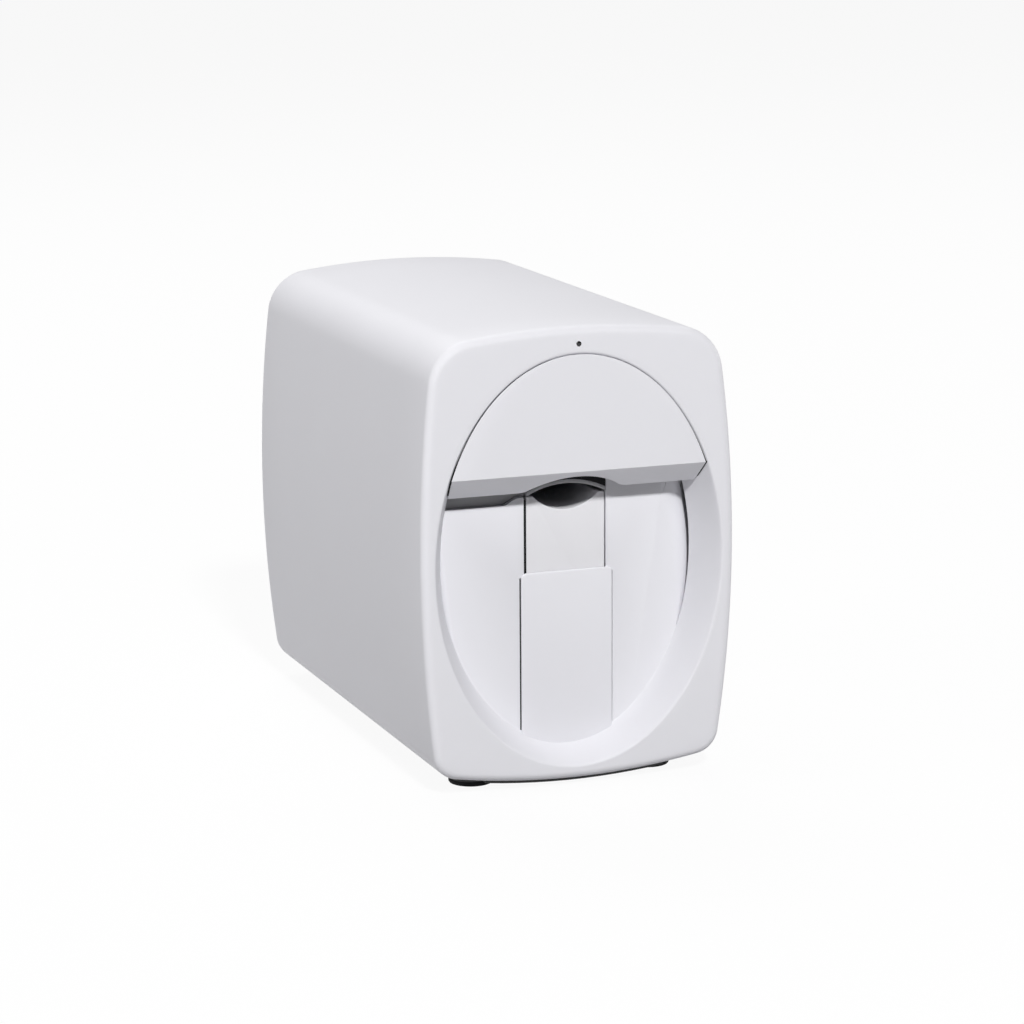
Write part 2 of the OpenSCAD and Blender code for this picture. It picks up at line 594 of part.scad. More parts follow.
module cartridge_gate() color([0.16, 0.36, 0.5]) place() {
    w = carriage_x - 1.9;
    g = w - 1.4;
    difference() {
        union() {
            bar(-g, g, gate_d - 1.2, gate_d + 1.2, gate_h, gate_h + 21.5);
            across(-w, gate_d, gate_h, 1.9, 2 * w);
            bar(-12, 12, gate_d - 3, gate_d + 1.2, gate_h + 19.9, gate_h + 21.5);
        }
        across(-60, gate_d, gate_h, 1 + run_gap, 120);
    }
}
module gate_pin() color([0.75, 0.76, 0.78]) place()
    across(-carriage_x, gate_d, gate_h, 1, 2 * carriage_x);
module ink_cartridge() color([0.12, 0.12, 0.13]) place() {
    x = ink_w / 2;
    d = bridge_d;
    h = head_h;
    difference() {
        union() {
            bar(-x, x, d - 55.6, d + 2, h + 1.8, h + 34.6);
            bar(-x + 2, x - 2, d - 54, d, h + 34.6, h + 38.6);
            bar(-10.5, 10.5, nozzle_d - 6.5, nozzle_d + 6.5, h - 0.2, h + 2.6);
        }
        bar(-x + 6, x - 6, d - 57, d - 54.6, h + 12.6, h + 30.6);
        bar(-8, 8, nozzle_d - 5, nozzle_d + 5, h - 1.4, h + 0.1);
    }
}
module nozzle_plate() color([0.72, 0.6, 0.3]) place()
    bar(-8, 8, nozzle_d - 5, nozzle_d + 5, head_h - 0.5, head_h + 0.1);

// ---- drives
module x_motor() color([0.55, 0.56, 0.58]) place() {
    d = bridge_d + 18;
    difference() {
        union() {
            bar(pulley_x - 8, pulley_x + 8, d, d + 15, belt_h - 8, belt_h + 8);
            along(pulley_x, d - 1, belt_h, 1.6, 2);
        }
        along(pulley_x, d - 8, belt_h, 0.8 + run_gap, 20);
    }
}
module wheel(x) {
    d = bridge_d + 12.5;
    along(x, d, belt_h, pulley_r + 1.2, 0.7);
    along(x, d + 0.7, belt_h, pulley_r - 0.05, 2.6);
    along(x, d + 3.3, belt_h, pulley_r + 1.2, 0.5);
}
module x_pulley() color([0.78, 0.79, 0.8]) place() {
    wheel(pulley_x);
    along(pulley_x, bridge_d + 13, belt_h, 0.8, 14);
}
module x_idler() color([0.78, 0.79, 0.8]) place() difference() {
    wheel(-pulley_x);
    along(-pulley_x, bridge_d + 10, belt_h, 1 + run_gap, 20);
}
module idler_pin() color([0.7, 0.71, 0.73]) place()
    along(-pulley_x, bridge_d + 12.1, belt_h, 1, 5.9);
module x_belt() color([0.06, 0.06, 0.06]) place() {
    d = bridge_d + 13.3;
    difference() {
        union() {
            both() along(pulley_x, d, belt_h, pulley_r + 1, 2.4);
            bar(-pulley_x, pulley_x, d, d + 2.4, belt_h - pulley_r - 1, belt_h + pulley_r + 1);
        }
        both() along(pulley_x, d - 3, belt_h, pulley_r, 20);
        bar(-pulley_x, pulley_x, d - 3, d + 7, belt_h - pulley_r, belt_h + pulley_r);
    }
}
module y_motor() color([0.55, 0.56, 0.58]) place() {
    d = bridge_d + 36;
    difference() {
        union() {
            bar(screw_x - 10, screw_x + 10, d, d + 20, rail_h - 10, rail_h + 10);
            along(screw_x, d - 2, rail_h, 4, 3);
        }
        along(screw_x, d - 6, rail_h, 1 + run_gap, 20);
    }
}
module motor_bracket() color([0.62, 0.63, 0.65]) place() {
    d = bridge_d + 34;
    h = deck_z + deck_t;
    difference() {
        union() {
            bar(screw_x - 11, screw_x + 11, d, d + 2, h + 4, rail_h + 11);
            bar(screw_x - 11, post_x - 3.4, d, d + 2, h, h + 5);
            bar(screw_x - 11, post_x - 3.4, d, d + 18, h, h + 2);
        }
        along(screw_x, d - 4, rail_h, 4, 20);
    }
}
module lead_screw() color([0.72, 0.73, 0.75]) place() {
    along(screw_x, front_post_d + 0.5, rail_h, 1.5, 8);
    along(screw_x, front_post_d + 6.6, rail_h, 2, bridge_d + 26 - front_post_d);
    along(screw_x, bridge_d + 26, rail_h, 1, 22);
}
module y_nut() color([0.8, 0.66, 0.35]) place() difference() {
    bar(screw_x - 3.2, rail_x - 4, bridge_d + 2, bridge_d + 12, rail_h - 5, rail_h + 5);
    along(screw_x, bridge_d - 10, rail_h, 2 + run_gap, 40);
}

// ---- electronics
board_at = [for (x = [-1, 1], d = [84, standoff_d]) [x * 26, d]];
module main_board() color([0.05, 0.3, 0.16]) place() difference() {
    bar(-30, 30, 78, body_d - 8, board_top - 1.6, board_top);
    for (p = board_at) up(p.x, p.y, 5, 1.6, 20);
}
module board_standoffs() color([0.8, 0.66, 0.35]) place()
    for (p = board_at) {
        up(p.x, p.y, pad_h, 3, board_top - 1.6 - pad_h);
        up(p.x, p.y, board_top - 2.6, 1.5, 3.4);
        up(p.x, p.y, board_top, 2.8, 1.4);
    }
module board_parts() color([0.1, 0.1, 0.11]) place() {
    h = board_top;
    bar(-8, 8, 98, 114, h, h + 1.6);
    bar(16, 26, 89, 99, h, h + 1.4);
    bar(-28, -20, 96, 104, h, h + 1.4);
    for (i = [0:3]) up(-26 + i * 9, standoff_d - 21, h, 3.2, 9);
    bar(-18, 14, 80, 85, h, h + 5.4);
}
module wifi_module() color([0.6, 0.61, 0.64]) place()
    bar(10, 27, standoff_d - 35, standoff_d - 17, board_top, board_top + 3);
module battery_holder() color([0.1, 0.1, 0.11]) place() difference() {
    bar(-batt_x, batt_x, 27, 69, floor_h, 18);
    for (d = [38, 58]) across(-cell_l / 2 - 0.5, d, 16, 9.4, cell_l + 1);
    for (d = [38, 58]) bar(-cell_l / 2 - 0.5, cell_l / 2 + 0.5, d - 9.4, d + 9.4, 16, 30);
}
module battery_cells() color([0.2, 0.35, 0.6]) place()
    for (d = [38, 58]) across(-cell_l / 2, d, 15.8, 9.2, cell_l);
module driver_board() color([0.05, 0.3, 0.16]) place() {
    h = deck_z + deck_t;
    bar(-36, 12, driver_d, driver_d + 1.6, h, h + 60);
    bar(-34, -28, driver_d + 1.6, driver_d + 5, h, h + 10);
    bar(0, 10, driver_d + 1.6, driver_d + 4, h + 20, h + 30);
}
module heat_sink() color([0.6, 0.61, 0.63]) place() {
    d = driver_d + 1.6;
    h = deck_z + deck_t + 32;
    bar(-25, -3, d, d + 1.8, h, h + 22);
    for (i = [0:6]) bar(-25 + i * 3.5, -24 + i * 3.5, d + 1.8, d + 7.4, h, h + 22);
}

housing();
dish();
front_cover();
cover_pegs();
cover_magnets();
catch_magnets();
indicator_lens();
finger_slide();
slide_guides();
slide_springs();
finger_stop();
camera_module();
nail_lamp();
rear_cover();
rear_screws();
power_button();
power_switch();
dc_jack();
usb_port();
base_plate();
base_screws();
rubber_feet();
deck();
deck_posts();
deck_screws();
rail_posts();
y_rails();
bridge();
x_rods();
carriage();
cartridge_gate();
gate_pin();
ink_cartridge();
nozzle_plate();
x_motor();
x_pulley();
x_idler();
idler_pin();
x_belt();
y_motor();
motor_bracket();
lead_screw();
y_nut();
main_board();
board_standoffs();
board_parts();
wifi_module();
battery_holder();
battery_cells();
driver_board();
heat_sink();
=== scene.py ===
"""Looks of a tabletop digital nail printer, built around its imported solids.

Sizes in the modelling functions are millimetres, as x, depth behind the front face, and height
above the lowest line of the white body. at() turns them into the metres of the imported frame.
"""

import json
from math import acos, asin, atan2, copysign, cos, pi, radians, sin, sqrt

import bmesh
import bpy
from mathutils import Matrix, Vector


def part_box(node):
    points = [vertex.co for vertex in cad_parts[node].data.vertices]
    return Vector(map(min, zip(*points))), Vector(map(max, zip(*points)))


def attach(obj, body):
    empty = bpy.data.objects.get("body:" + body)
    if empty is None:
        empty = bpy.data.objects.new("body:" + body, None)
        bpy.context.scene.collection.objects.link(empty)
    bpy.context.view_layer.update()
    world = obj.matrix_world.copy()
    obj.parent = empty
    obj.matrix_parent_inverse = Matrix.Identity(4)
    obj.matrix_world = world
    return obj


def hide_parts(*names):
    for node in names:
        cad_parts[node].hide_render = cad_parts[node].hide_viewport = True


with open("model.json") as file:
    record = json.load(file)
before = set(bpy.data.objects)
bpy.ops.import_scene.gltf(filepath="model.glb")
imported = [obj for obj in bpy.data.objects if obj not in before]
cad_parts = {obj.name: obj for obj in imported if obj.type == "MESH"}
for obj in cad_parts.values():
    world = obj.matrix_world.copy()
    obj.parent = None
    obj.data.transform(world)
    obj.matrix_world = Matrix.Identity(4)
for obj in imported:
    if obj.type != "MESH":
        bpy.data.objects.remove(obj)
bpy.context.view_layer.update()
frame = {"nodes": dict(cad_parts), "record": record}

bl_info = {
    "name": "Tabletop nail printer",
    "version": (1, 0, 0),
    "blender": (4, 5, 0),
    "location": "View3D > Sidebar > Nail printer",
    "description": "Shells, finishes and studio of a one-finger nail printer",
    "category": "Add Mesh",
}

MM = 0.001
body_low, body_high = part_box("housing")
BODY_W = (body_high.x - body_low.x) / MM
BODY_D = (body_high.y - body_low.y) / MM
BODY_H = (body_high.z - body_low.z) / MM
FOOT_H = body_low.z / MM

# Outline of the body, the same arcs as its solid
SIDE_R, TOP_R, BOTTOM_R = 485.0, 280.0, 254.0
TOP_CORNER_R, BOTTOM_CORNER_R, WIDEST_H = 16.0, 9.0, 76.0
CROWN_R, FRONT_WALL, WALL = 1667.0, 2.6, 2.4
RIM_A = BODY_W / 2 - 4.5
RIM_B = (BODY_H - 13.1) / 2
RIM_C = 4.46 + RIM_B
PANEL_D, LIP_H, PANEL_TOP, APRON_TOP = 13.3, 103.2, 91.0, 68.0
SLIDE_W, SLIDE_TOP, SLIDE_D, FILLET_D = 27.5, 93.3, 13.9, 4.5
PANEL_T = 2.3                   # thickness of the panels
LIP_LOW, LIP_BACK = 96.2, 9.0   # lower edge and rear of the cover's lip
LIP_REACH = 7.2                 # depth of the lip's lower edge
SPLIT_H = LIP_H + 5             # the recess wall ends here and the cover's ledge begins
JOINT_X = SLIDE_W / 2 + 2.6     # where the panels end beside the apron
APRON_X = SLIDE_W / 2 + 2.25
ROLL_LOW = 46                   # height above which a panel rolls away from the wall
ROLL_REACH, ROLL_DEPTH, ROLL_STEPS = 1.73, 1.3, 13
SCOOP_STEPS = 192
WELD = 1e-7                     # metres
SMOOTH_ANGLE, BEVEL_ANGLE = radians(32), radians(25)

# Studio: name, place, width, height and watts of each lamp; all aim at one point
LAMP_AIM = (0, 0, 0.08)
LAMPS = (("key_softbox", (-0.34, -2.43, 2.14), 0.32, 0.32, 87),
         ("left_softbox", (-3.0, 0.3, 0.9), 1.4, 1.4, 29),
         ("right_softbox", (3.0, 0.9, 0.45), 1.4, 0.6, 22),
         ("back_softbox", (0.0, 1.3, 1.6), 1.5, 1.0, 20))
FLOOR_SIZE, FLOOR_GLOW, WORLD_LEVEL = 6.0, 0.93, 0.02
# The photograph's camera, from the outline and the oval rim
CAMERA_YAW, CAMERA_PITCH, CAMERA_ROLL = 0.35575, 0.20556, -0.00594
CAMERA_PLACE, CAMERA_LENS = (-0.41095, -1.13437, 0.32608), 124.16


def at(x, depth, height):
    return Vector((x, depth - BODY_D / 2, height + FOOT_H)) * MM


class PrinterSizes(bpy.types.PropertyGroup):
    front_edge: bpy.props.FloatProperty(name="Front edge", default=0.0028, unit="LENGTH",
                                        description="Radius around the front face")
    rear_edge: bpy.props.FloatProperty(name="Rear edge", default=0.006, unit="LENGTH",
                                       description="Radius around the rear")
    rim_edge: bpy.props.FloatProperty(name="Rim edge", default=0.0006, unit="LENGTH",
                                      description="Radius of the oval rim")
    seam: bpy.props.FloatProperty(name="Cover seam", default=0.00035, unit="LENGTH",
                                  description="Gap around the upper cover")
    edge: bpy.props.FloatProperty(name="Moulded edge", default=0.0003, unit="LENGTH",
                                  description="Radius left on the small moulded edges")


class PrinterColours(bpy.types.PropertyGroup):
    shell: bpy.props.FloatVectorProperty(name="White shell", size=3, subtype="COLOR",
                                         default=(0.80, 0.797, 0.833),
                                         description="Outer body, recess and cover")
    inner: bpy.props.FloatVectorProperty(name="Finger slide", size=3, subtype="COLOR",
                                         default=(0.77, 0.765, 0.79),
                                         description="Finger slide and power button")
    # grey of the finger stop and inner mouldings; the same grey is painted shade on the white rim
    # of the stop and on the slot end
    dark: bpy.props.FloatVectorProperty(name="Dark plastic", size=3, subtype="COLOR",
                                        default=(0.40, 0.40, 0.415),
                                        description="Finger stop and inner mouldings")
    # black of the base plate, jack and cartridge; also painted shade in the joints beside the
    # apron
    black: bpy.props.FloatVectorProperty(name="Black plastic", size=3, subtype="COLOR",
                                         default=(0.018, 0.018, 0.02),
                                         description="Base plate, jack and cartridge")
    floor: bpy.props.FloatVectorProperty(name="Floor", size=3, subtype="COLOR",
                                         default=(0.44, 0.44, 0.445),
                                         description="Floor under the printer")


# ---- curves of the body -------------------------------------------------------------------
def crown(height):
    return (height - RIM_C) ** 2 / (2 * CROWN_R)


def meeting(c0, r0, c1, r1, side):
    gap = c1 - c0
    length = gap.length
    along = (r0 * r0 - r1 * r1 + length * length) / (2 * length)
    off = sqrt(r0 * r0 - along * along)
    unit = gap / length
    return c0 + along * unit + side * off * Vector((-unit.y, unit.x))


SIDE_C = Vector((BODY_W / 2 - SIDE_R, WIDEST_H))
TOP_C = Vector((0, BODY_H - TOP_R))
BOTTOM_C = Vector((0, BOTTOM_R))
CORNER_T = meeting(SIDE_C, SIDE_R - TOP_CORNER_R, TOP_C, TOP_R - TOP_CORNER_R, 1)
CORNER_B = meeting(SIDE_C, SIDE_R - BOTTOM_CORNER_R, BOTTOM_C, BOTTOM_R - BOTTOM_CORNER_R, -1)


def turn(v):
    return atan2(v.y, v.x)


def outline(inset):
    """Points around the body, from the bottom centre by the right side, inset millimetres in."""
    stops = (-pi / 2, turn(CORNER_B - BOTTOM_C), turn(CORNER_B - SIDE_C),
             turn(CORNER_T - SIDE_C), turn(CORNER_T - TOP_C), pi / 2)
    arcs = ((BOTTOM_C, BOTTOM_R, 18), (CORNER_B, BOTTOM_CORNER_R, 12), (SIDE_C, SIDE_R, 34),
            (CORNER_T, TOP_CORNER_R, 18), (TOP_C, TOP_R, 20))
    right = []
    for (centre, radius, steps), start, end in zip(arcs, stops, stops[1:]):
        for i in range(steps):
            a = start + (end - start) * i / steps
            right.append((centre.x + (radius - inset) * cos(a),
                          centre.y + (radius - inset) * sin(a)))
    right[0] = (0.0, inset)
    return right + [(0.0, BODY_H - inset)] + [(-x, h) for x, h in reversed(right[1:])]


def scoop(t, depth, grow=0.0):
    """Point of the recess wall at turn t from the bottom and a depth; grow widens it."""
    low = min(max((50 - RIM_C + RIM_B * cos(t)) / 30, 0), 1)
    curl = 1 - sqrt(1 - min(max(depth - PANEL_D + FILLET_D, 0) / FILLET_D, 1) ** 2)
    a = RIM_A - 0.46 * depth - 0.9 * low * curl + grow
    if cos(t) > 0:
        b = RIM_B - 0.4 * depth - 0.7 * low * curl + grow
    else:
        b = RIM_B - 0.46 * depth + grow
    return a * sin(t), RIM_C - b * cos(t)


def rim_turn(x, height):
    """Turn of the rim point that lies in the same direction as an outline point."""
    return atan2(x / RIM_A, -(height - RIM_C) / RIM_B)


# ---- bmesh helpers ------------------------------------------------------------------------
def skin(bm, rings, closed=False):
    """A grid laid over rings of points and sewn up; closed joins the last ring to the first."""
    across, along = len(rings[0]), len(rings) - (0 if closed else 1)
    made = bmesh.ops.create_grid(bm, x_segments=across, y_segments=along, size=1.0)["verts"]
    for vert in made:
        i = round((vert.co.x + 1) / 2 * across) % across
        j = round((vert.co.y + 1) / 2 * along) % len(rings)
        vert.co = at(*rings[j][i])
    bmesh.ops.remove_doubles(bm, verts=made, dist=WELD)


def open_edges(bm):
    return [e for e in bm.edges if e.is_boundary]


def cut_level(bm, height, upward):
    """Cuts everything at a height, clears what lies above or below it and closes the cut."""
    cut = bmesh.ops.bisect_plane(
        bm, geom=bm.verts[:] + bm.edges[:] + bm.faces[:], dist=WELD,
        plane_co=at(0, 0, height), plane_no=(0, 0, upward), clear_outer=True)["geom_cut"]
    bmesh.ops.holes_fill(bm, edges=[e for e in cut if isinstance(e, bmesh.types.BMEdge)])


def prism(bm, points, depth0, depth1, front=None, edge=0.0, segments=2, keep=None):
    """A front view of (x, height) points made deep.

    front gives another depth per height; keep says which of the sharp edges are rounded.
    """
    verts = [bm.verts.new(at(x, front(h) if front else depth0, h)) for x, h in points]
    face = bm.faces.new(verts)
    made = bmesh.ops.extrude_face_region(bm, geom=[face])["geom"]
    back = [v for v in made if isinstance(v, bmesh.types.BMVert)]
    for vert in back:
        vert.co.y = (depth1 - BODY_D / 2) * MM
    everything = set(verts) | set(back)
    faces = {f for v in everything for f in v.link_faces}
    bmesh.ops.recalc_face_normals(bm, faces=list(faces))
    if edge:
        edges = {e for v in everything for e in v.link_edges
                 if e.calc_face_angle(0) > BEVEL_ANGLE and (keep is None or keep(e))}
        bmesh.ops.bevel(bm, geom=list(edges), offset=edge, offset_type="OFFSET",
                        affect="EDGES", segments=segments, profile=0.5, material=-1,
                        clamp_overlap=True)


def turned(x, centre, stations, upright, steps):
    """Rings of (radius, place) stations; an upright line has its centre in depth."""
    loops = []
    for radius, along in stations:
        ring = []
        for i in range(steps):
            a = 2 * pi * i / steps
            across = centre + radius * sin(a)
            ring.append((x + radius * cos(a), *((across, along) if upright
                                                else (along, across))))
        loops.append(ring)
    return loops


def disc_stack(bm, x, centre, stations, upright=True, steps=64):
    """A solid turned form, closed at its first and last stations."""
    skin(bm, turned(x, centre, stations, upright, steps))
    bmesh.ops.holes_fill(bm, edges=open_edges(bm))


def finish_piece(bm, name, body, slot, replaced=()):
    """Welds, turns the faces outwards, and gives the piece its body, slot and finish."""
    bmesh.ops.remove_doubles(bm, verts=bm.verts, dist=WELD)
    bmesh.ops.recalc_face_normals(bm, faces=bm.faces)
    mesh = bpy.data.meshes.new(name)
    bm.to_mesh(mesh)
    bm.free()
    mesh.shade_smooth()
    mesh.set_sharp_from_angle(angle=SMOOTH_ANGLE)
    piece = bpy.data.objects.new(name, mesh)
    bpy.context.scene.collection.objects.link(piece)
    mesh.materials.append(FINISHES[slot])
    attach(piece, body)
    if replaced:
        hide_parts(*replaced)


# ---- finishes -----------------------------------------------------------------------------
class Wire:
    """A shader socket that takes part in sums; numbers may stand on either side."""

    def __init__(self, tree, socket):
        self.tree, self.socket = tree, socket

    def node(self, kind, settings=None, values=None, output=0):
        """Adds a node, sets its settings first and then the values or links of its sockets."""
        made = self.tree.nodes.new(kind)
        for key, value in (settings or {}).items():
            if key == "stops":
                ramp = made.color_ramp
                while len(ramp.elements) < len(value):
                    ramp.elements.new(0.5)
                for element, (place, colour) in zip(ramp.elements, value):
                    element.position = place
                    element.color = (*colour, 1.0)
            else:
                setattr(made, key, value)
        for key, value in (values or {}).items():
            if isinstance(value, Wire):
                self.tree.links.new(value.socket, made.inputs[key])
            else:
                made.inputs[key].default_value = value
        return Wire(self.tree, made.outputs[output])

    def sum_with(self, operation, first, second):
        return self.node("ShaderNodeMath", {"operation": operation}, {0: first, 1: second})

    def __add__(self, other):
        return self.sum_with("ADD", self, other)

    def __radd__(self, other):
        return self.sum_with("ADD", other, self)

    def __mul__(self, other):
        return self.sum_with("MULTIPLY", self, other)

    def __rmul__(self, other):
        return self.sum_with("MULTIPLY", other, self)

    def mix(self, first, second):
        """A colour between two colours, with this socket as the factor."""
        return self.node("ShaderNodeMix", {"data_type": "RGBA"},
                         {0: self, 6: first, 7: second}, output=2)


class Finish:
    """A material whose surface is written as sums on its own coordinates."""

    def __init__(self, name):
        self.material = bpy.data.materials.new(name)
        self.material.use_nodes = True
        tree = self.material.node_tree
        self.shader = tree.nodes["Principled BSDF"]
        place = tree.nodes.new("ShaderNodeTexCoord")
        self.place = Wire(tree, place.outputs["Object"])

    def noise(self, scale, detail=3.0, rough=0.5, stretch=None):
        where = self.place
        if stretch:
            where = where.node("ShaderNodeMapping", None, {0: where, 3: stretch})
        return where.node("ShaderNodeTexNoise", None, {
            "Vector": where, "Scale": scale, "Detail": detail, "Roughness": rough})

    def set(self, **constants):
        for key, value in constants.items():
            name = key.replace("_", " ")
            if name == "Base Color":
                value = (*value, 1.0)
            self.shader.inputs[name].default_value = value
        return self

    def link(self, name, wire):
        wire.tree.links.new(wire.socket, self.shader.inputs[name])
        return self

    def bump(self, height, strength, distance):
        return self.link("Normal", height.node("ShaderNodeBump", None, {
            "Strength": strength, "Distance": distance, "Height": height}))


def shaded(colour, share):
    return tuple(min(1.0, c * share) for c in colour) + (1.0,)


def moulded(name, colour, rough, grain=1.0, spread=0.012, coat=0.0, gloss=0.5):
    """Moulded plastic: a fine spark-eroded grain, cloudy gloss and hardly any colour drift."""
    f = Finish(name)
    cloud = f.noise(9.0, 2.0)
    f.link("Base Color", cloud.mix(shaded(colour, 1 - spread), shaded(colour, 1 + spread)))
    f.link("Roughness", rough - 0.05 + 0.1 * f.noise(38.0, 3.0))
    f.set(IOR=1.46, Coat_Weight=coat, Specular_IOR_Level=gloss)
    fine = f.noise(2600.0, 2.0, 0.6) + 0.6 * f.noise(900.0, 2.0)
    return f.bump(fine, 0.10 * grain, 0.00006).material


def brushed(name, colour, rough, stretch):
    """Ground metal with its lines along the direction that is stretched least."""
    f = Finish(name)
    lines = f.noise(240.0, 4.0, 0.6, stretch)
    f.link("Base Color", lines.mix(shaded(colour, 0.86), shaded(colour, 1.06)))
    f.link("Roughness", rough - 0.08 + 0.16 * lines)
    f.set(Metallic=1.0)
    return f.bump(lines, 0.16, 0.00005).material


def rubbered(name):
    """Soft black rubber with a chalky, uneven surface."""
    f = Finish(name)
    cloud = f.noise(160.0, 5.0, 0.65)
    f.link("Base Color", cloud.mix((0.006, 0.006, 0.007, 1), (0.022, 0.022, 0.024, 1)))
    f.link("Roughness", 0.62 + 0.26 * cloud)
    f.set(Specular_IOR_Level=0.15)
    return f.bump(f.noise(1500.0, 3.0), 0.3, 0.00008).material


def circuit(name):
    """Solder resist with faint copper lanes under it."""
    f = Finish(name)
    lanes = f.place.node("ShaderNodeTexBrick", {"offset": 0.37, "squash": 1.6}, {
        "Vector": f.place, "Scale": 160.0, "Mortar Size": 0.03,
        "Color1": (0.012, 0.075, 0.035, 1), "Color2": (0.016, 0.092, 0.044, 1),
        "Mortar": (0.035, 0.16, 0.08, 1)})
    f.link("Base Color", lanes)
    f.link("Roughness", 0.28 + 0.2 * f.noise(70.0))
    return f.bump(f.noise(400.0, 2.0), 0.15, 0.0001).material


FINISHES = {}


def make_finishes(colours):
    """One finish for each material slot of the record."""
    FINISHES.update(
        white_shell=moulded("shell_white_satin", tuple(colours.shell), 0.56, gloss=0.34),
        white_inner=moulded("slide_white_satin", tuple(colours.inner), 0.56, gloss=0.34),
        # this grey is also painted shade on the stop's rim and on the end of the left slot
        grey_plastic=moulded("stop_grey_and_painted_shade", tuple(colours.dark), 0.5, 1.4, 0.06),
        # this black also fills the joints beside the apron as painted shade
        dark_plastic=moulded("black_matt_and_painted_shade", tuple(colours.black), 0.45, 1.4, 0.1),
        lens=moulded("indicator_gloss", (0.006, 0.006, 0.008), 0.12, 0.1, 0.1, 0.6),
        blue_plastic=moulded("gate_blue_gloss", (0.03, 0.12, 0.24), 0.3, 0.6, 0.05),
        cell_wrap=moulded("cell_film_blue", (0.03, 0.10, 0.28), 0.25, 0.3, 0.08),
        lamp=moulded("lamp_diffuser", (0.86, 0.86, 0.80), 0.35, 0.4, 0.02),
        steel=brushed("steel_ground", (0.60, 0.61, 0.63), 0.28, (0.15, 1.0, 1.0)),
        aluminium=brushed("aluminium_rolled", (0.70, 0.71, 0.73), 0.36, (1.0, 0.12, 1.0)),
        brass=brushed("brass_turned", (0.78, 0.60, 0.28), 0.30, (1.0, 1.0, 3.0)),
        # the rubber black is also painted shade: the space above the finger stop, the cover seam
        # and the gap beside the slide
        rubber=rubbered("rubber_and_painted_shade"),
        board=circuit("board_green"),
    )


class PRINTER_OT_finishes(bpy.types.Operator):
    """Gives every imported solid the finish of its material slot"""

    bl_idname = "printer.finishes"
    bl_label = "Finishes"

    def execute(self, context):
        make_finishes(context.scene.printer_colours)
        slot_of = {s["node"]: s["material_slot"] for s in frame["record"]["subparts"]}
        for node, obj in frame["nodes"].items():
            if not obj.material_slots:
                obj.data.materials.append(None)
            for place in obj.material_slots:
                place.material = FINISHES[slot_of[node]]
        return {"FINISHED"}


# ---- white pieces -------------------------------------------------------------------------
class PRINTER_OT_shell(bpy.types.Operator):
    """Models the one-piece body with its crowned front, oval opening and rounded rear"""

    bl_idname = "printer.shell"
    bl_label = "Body shell"

    def execute(self, context):
        sizes = context.scene.printer_sizes
        front_r, rear_r, rim_r = sizes.front_edge / MM, sizes.rear_edge / MM, sizes.rim_edge / MM
        turns = [rim_turn(x, h) for x, h in outline(front_r)]

        def hole(depth, grow):
            made = []
            for t in turns:
                x, h = scoop(t, depth, grow)
                made.append((x, depth + crown(h), h))
            return made

        def around(depth, inset, crowned=False):
            return [(x, depth + (crown(h) if crowned else 0), h) for x, h in outline(inset)]

        def between(share, depth, inset, grow):
            rim = hole(depth, grow)
            edge = around(depth, inset, True)
            made = []
            for a, b in zip(rim, edge):
                x, h = a[0] + (b[0] - a[0]) * share, a[2] + (b[2] - a[2]) * share
                made.append((x, depth + crown(h), h))
            return made

        rings = [hole(FRONT_WALL, 0.0), hole(rim_r, 0.0)]
        for i in range(1, 5):
            a = pi / 2 * i / 4
            rings.append(hole(rim_r * (1 - sin(a)), rim_r * (1 - cos(a))))
        rings += [between(s, 0.0, front_r, rim_r) for s in (0.12, 0.3, 0.5, 0.7, 0.88)]
        for i in range(7):
            a = pi / 2 * i / 6
            rings.append(around(front_r * (1 - cos(a)), front_r * (1 - sin(a)), True))
        rings += [around(front_r + (BODY_D - front_r - rear_r) * s, 0.0) for s in
                  (0.12, 0.3, 0.5, 0.7, 0.88)]
        for i in range(9):
            a = pi / 2 * i / 8
            rings.append(around(BODY_D - rear_r * (1 - sin(a)), rear_r * (1 - cos(a))))
        rings += [around(BODY_D, 6.55), around(BODY_D - 0.25, 6.8), around(BODY_D - 3, 6.8),
                  around(BODY_D - 3, 8.2), around(BODY_D - 5, 8.2), around(BODY_D - 7, WALL),
                  around(FRONT_WALL + 12, WALL), around(FRONT_WALL, WALL, True),
                  between(0.5, FRONT_WALL, WALL, 0.0)]
        bm = bmesh.new()
        skin(bm, rings, closed=True)
        finish_piece(bm, "body_shell", "frame", "white_shell", ["housing"])
        return {"FINISHED"}


def scoop_ring(depth, grow=0.0, shift=0.0, plane=True):
    """One ring of the recess; its crown fades out towards the flat panels."""
    fade = sqrt(max(0.0, 1 - min(depth / PANEL_D, 1) ** 2)) if plane else 1.0
    made = []
    for i in range(SCOOP_STEPS):
        t = 2 * pi * i / SCOOP_STEPS
        x, h = scoop(t, depth, grow)
        made.append((x, depth + shift + crown(h) * fade, h))
    return made


def roll_width(height):
    """Width over which a panel rolls away from the recess wall; widest below the cover."""
    rise = min(max((height - ROLL_LOW) / 41, 0), 1) ** 0.7
    return 0.25 + 8.0 * rise * (1 - 0.62 * min(max((height - 90) / 9, 0), 1))


def flat_end(side, x, height):
    """Where the flat of a panel ends beside the wall; the left one rolls away less."""
    share = 1 if side > 0 else 0.6 * min(max((PANEL_TOP - 6 - height) / 26, 0.0), 1)
    return x + 0.25 * (1 - share) - roll_width(height) * share


